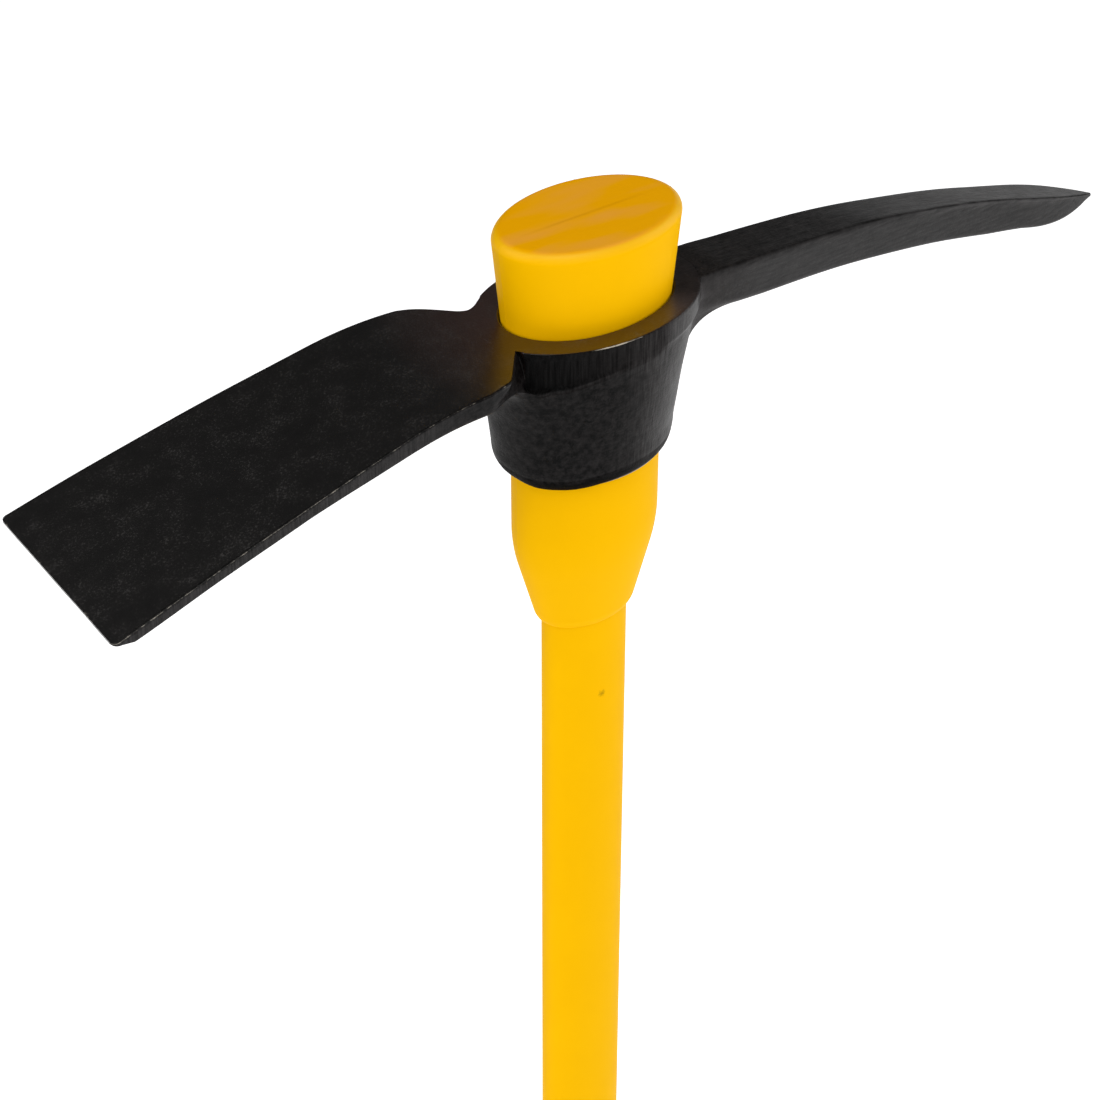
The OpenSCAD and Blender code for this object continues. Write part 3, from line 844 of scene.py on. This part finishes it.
    # Thin paint, thick paint and the painted shade have all lost the lacquer's gloss
    satin = {"From Min": 0.3, "From Max": 0.7, "To Min": 0.36, "To Max": 0.52}
    rough = add(tree, span, satin, {"Value": marks}).outputs[0]
    tree.links.new(rough, shader.inputs["Roughness"])
    matt = add(tree, calc, {1: 0.96}, {0: scaled, 2: pooled_and_shaded}, operation="MULTIPLY_ADD").outputs[0]
    coat = add(tree, span, {"To Min": 1.0, "To Max": 0.0}, {"Value": matt}).outputs[0]
    tree.links.new(coat, shader.inputs["Coat Weight"])
    sheen = add(tree, span, {"To Min": 0.12, "To Max": 0.01}, {"Value": matt}).outputs[0]
    tree.links.new(sheen, shader.inputs["Specular IOR Level"])
    shader.inputs["Coat Roughness"].default_value = 0.3
    shader.inputs["Coat IOR"].default_value = 1.75
    # Relief of the grain, the drawn marks, the mottle under thin paint and the marks on sheared steel
    scored = add(tree, calc, None, {0: score, 1: sheared}, operation="MULTIPLY").outputs[0]
    base = add(tree, calc, None, {0: grain, 1: drawn}, operation="ADD").outputs[0]
    pitted = add(tree, calc, None, {0: mottle, 1: scaled, 2: base}, operation="MULTIPLY_ADD").outputs[0]
    height = add(tree, calc, None, {0: pitted, 1: scored}, operation="ADD").outputs[0]
    depth = {"Strength": 0.6, "Distance": 0.0003}
    relief = add(tree, "ShaderNodeBump", depth, {"Height": height}).outputs[0]
    tree.links.new(relief, shader.inputs["Normal"])
    return material


def yellow_polypropylene():
    """Moulded yellow polypropylene: a warm satin skin with a soft sheen on the plug's rim, a darker amber
    top on the plug that is painted shade, scuffed paler in patches on the plug's top, with the mould's
    parting line across it and one small burn mark on the shaft."""
    material, tree, shader, place = start_material("yellow_polypropylene")
    noise, span, calc, blend = "ShaderNodeTexNoise", "ShaderNodeMapRange", "ShaderNodeMath", "ShaderNodeMix"
    rgb = {"data_type": "RGBA"}
    plug_z = HANDLE_LEN * MM
    x, y, z = add(tree, "ShaderNodeSeparateXYZ", None, {0: place}).outputs
    top_skin = {"From Min": plug_z - 0.0008, "From Max": plug_z - 0.0001}
    on_top = add(tree, span, top_skin, {"Value": z}).outputs[0]
    # Flow marks about 30 mm long, and on the plug's top scuffs about 30 mm long and 10 mm wide
    flow = add(tree, noise, {"Scale": 1 / 0.03, "Detail": 3.0}, {"Vector": place}).outputs[0]
    along = add(tree, "ShaderNodeMapping", {"Scale": (0.3, 1.0, 1.0)}, {"Vector": place}).outputs[0]
    broad = {"Scale": 1 / 0.01, "Detail": 1.5, "Roughness": 0.4}
    scuff = add(tree, noise, broad, {"Vector": along}).outputs[0]
    patchy = {"From Min": 0.47, "From Max": 0.72, "To Max": 0.5}
    patch = add(tree, span, patchy, {"Value": scuff}).outputs[0]
    top_patch = add(tree, calc, None, {0: patch, 1: on_top}, operation="MULTIPLY").outputs[0]
    # The parting line lies along the plug's top and fades towards its ends
    side = add(tree, calc, None, {0: y}, operation="ABSOLUTE").outputs[0]
    hairline = {"From Min": 0.0012, "From Max": 0.0002, "To Max": 0.3}
    line = add(tree, span, hairline, {"Value": side}).outputs[0]
    end = add(tree, calc, None, {0: x}, operation="ABSOLUTE").outputs[0]
    middle = add(tree, span, {"From Min": 0.032, "From Max": 0.012}, {"Value": end}).outputs[0]
    mid_line = add(tree, calc, None, {0: line, 1: middle}, operation="MULTIPLY").outputs[0]
    top_line = add(tree, calc, None, {0: mid_line, 1: on_top}, operation="MULTIPLY").outputs[0]
    # The burn mark's edge is broken by 1 mm grain
    burn_at = {1: (0.0008, -0.0130, 0.6808)}
    away = add(tree, "ShaderNodeVectorMath", burn_at, {0: place}, operation="DISTANCE").outputs["Value"]
    grain = add(tree, noise, {"Scale": 1 / 0.001, "Detail": 2.0}, {"Vector": place}).outputs[0]
    ragged = add(tree, calc, {1: 0.004}, {0: grain, 2: away}, operation="MULTIPLY_ADD").outputs[0]
    scorch = {"From Min": 0.0041, "From Max": 0.0024, "To Max": 0.5}
    burn = add(tree, span, scorch, {"Value": ragged}).outputs[0]
    # Colours in order: the yellow, a darker amber top that is painted shade, its scuffs, its parting line,
    # the burn mark
    yellows = {"A": colour("#eeb200"), "B": colour("#f2b700")}
    tone = add(tree, blend, yellows, {"Factor": flow}, **rgb).outputs["Result"]
    layers = [("#f0a800", on_top), ("#ea9f45", top_patch), ("#c98200", top_line), ("#7a4a05", burn)]
    for code, share in layers:
        tone = add(tree, blend, {"B": colour(code)}, {"Factor": share, "A": tone}, **rgb).outputs["Result"]
    tree.links.new(tone, shader.inputs["Base Color"])
    # The plug's rounded rim is handled to a soft shine
    handled = {"From Min": plug_z - 0.004, "From Max": plug_z - 0.0012, "To Min": 0.01, "To Max": 0.2}
    rim = add(tree, span, handled, {"Value": z}).outputs[0]
    shine = add(tree, calc, {1: -0.19}, {0: on_top, 2: rim}, operation="MULTIPLY_ADD").outputs[0]
    tree.links.new(shine, shader.inputs["Specular IOR Level"])
    shader.inputs["Roughness"].default_value = 0.45
    return material


def pultruded_fibreglass():
    """Pultruded fibreglass: pale straw resin with fine lengthwise strands, hidden inside the jacket."""
    material, tree, shader, place = start_material("pultruded_fibreglass")
    # Strands 1 mm wide and 40 mm long
    along = add(tree, "ShaderNodeMapping", {"Scale": (40.0, 40.0, 1.0)}, {"Vector": place}).outputs[0]
    fine = {"Scale": 1 / 0.04, "Detail": 2.0}
    strand = add(tree, "ShaderNodeTexNoise", fine, {"Vector": along}).outputs[0]
    straw = {"A": colour("#cfc58c"), "B": colour("#e2dab0")}
    tone = add(tree, "ShaderNodeMix", straw, {"Factor": strand}, data_type="RGBA").outputs["Result"]
    tree.links.new(tone, shader.inputs["Base Color"])
    shader.inputs["Roughness"].default_value = 0.5
    return material


def floor_paper():
    """White background paper: matt and even, and bright enough to read as the photo's plain white."""
    material, tree, shader, place = start_material("floor_paper")
    # Fibres clouded over about 50 mm
    cloud = {"Scale": 1 / 0.05, "Detail": 2.0}
    fibre = add(tree, "ShaderNodeTexNoise", cloud, {"Vector": place}).outputs[0]
    white = {"A": colour("#fbfbfb"), "B": colour("#ffffff")}
    tone = add(tree, "ShaderNodeMix", white, {"Factor": fibre}, data_type="RGBA").outputs["Result"]
    tree.links.new(tone, shader.inputs["Base Color"])
    tree.links.new(tone, shader.inputs["Emission Color"])
    shader.inputs["Emission Strength"].default_value = 0.76
    shader.inputs["Roughness"].default_value = 0.9
    return material


# The stage, in metres


def lay_floor():
    """A pale square floor under the butt."""
    size = 6.0
    corners = [(-size, -size, 0), (size, -size, 0), (size, size, 0), (-size, size, 0)]
    mesh = bpy.data.meshes.new("floor")
    mesh.from_pydata(corners, [], [(0, 1, 2, 3)])
    mesh.materials.append(floor_paper())
    floor = bpy.data.objects.new("floor", mesh)
    bpy.context.scene.collection.objects.link(floor)


def light_studio():
    """A faint white surround and five soft square lamps, all aimed at the head."""
    world = bpy.data.worlds.new("studio_world")
    world.use_nodes = True
    surround = world.node_tree.nodes["Background"].inputs
    surround["Color"].default_value = (1.0, 1.0, 1.0, 1.0)
    surround["Strength"].default_value = 0.03
    bpy.context.scene.world = world
    bpy.context.scene.view_settings.view_transform = "Standard"
    # Name, place, width and power in watts
    lamps = [
        ("left_softbox", (-1.8, 0.2, 1.9), 2.2, 30.0),
        ("right_softbox", (1.3, -0.6, 1.1), 1.2, 9.0),
        ("front_softbox", (-0.4, -2.1, 1.6), 2.2, 18.0),
        ("top_softbox", (-0.3, -0.9, 2.5), 1.2, 16.0),
        ("back_card", (1.75, 1.4, 1.2), 1.2, 5.0),
    ]
    aim = Vector((-0.02, 0.0, 0.8))
    for name, where, width, power in lamps:
        lamp = bpy.data.lights.new(name, "AREA")
        lamp.shape = "SQUARE"
        lamp.size = width
        lamp.energy = power
        holder = bpy.data.objects.new(name, lamp)
        holder.location = where
        holder.rotation_euler = (aim - Vector(where)).to_track_quat("-Z", "Y").to_euler()
        bpy.context.scene.collection.objects.link(holder)


def place_camera():
    """The camera, whose lens, place and direction were fitted to the photograph."""
    lens = bpy.data.cameras.new("camera")
    lens.lens = 98.48
    lens.sensor_width = 36.0
    camera = bpy.data.objects.new("camera", lens)
    camera.location = (-0.5708, -0.8213, 1.5161)
    camera.rotation_euler = Vector((0.4437, 0.6585, -0.6080)).to_track_quat("-Z", "Y").to_euler()
    bpy.context.scene.collection.objects.link(camera)
    bpy.context.scene.camera = camera


forged_head(black_lacquered_steel())
yellow = yellow_polypropylene()
eye_moulding(yellow)
shaft_jacket(yellow)
butt_cap(yellow)
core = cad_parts["core_rod"]
core.data.materials.clear()
core.data.materials.append(pultruded_fibreglass())
lay_floor()
light_studio()
place_camera()
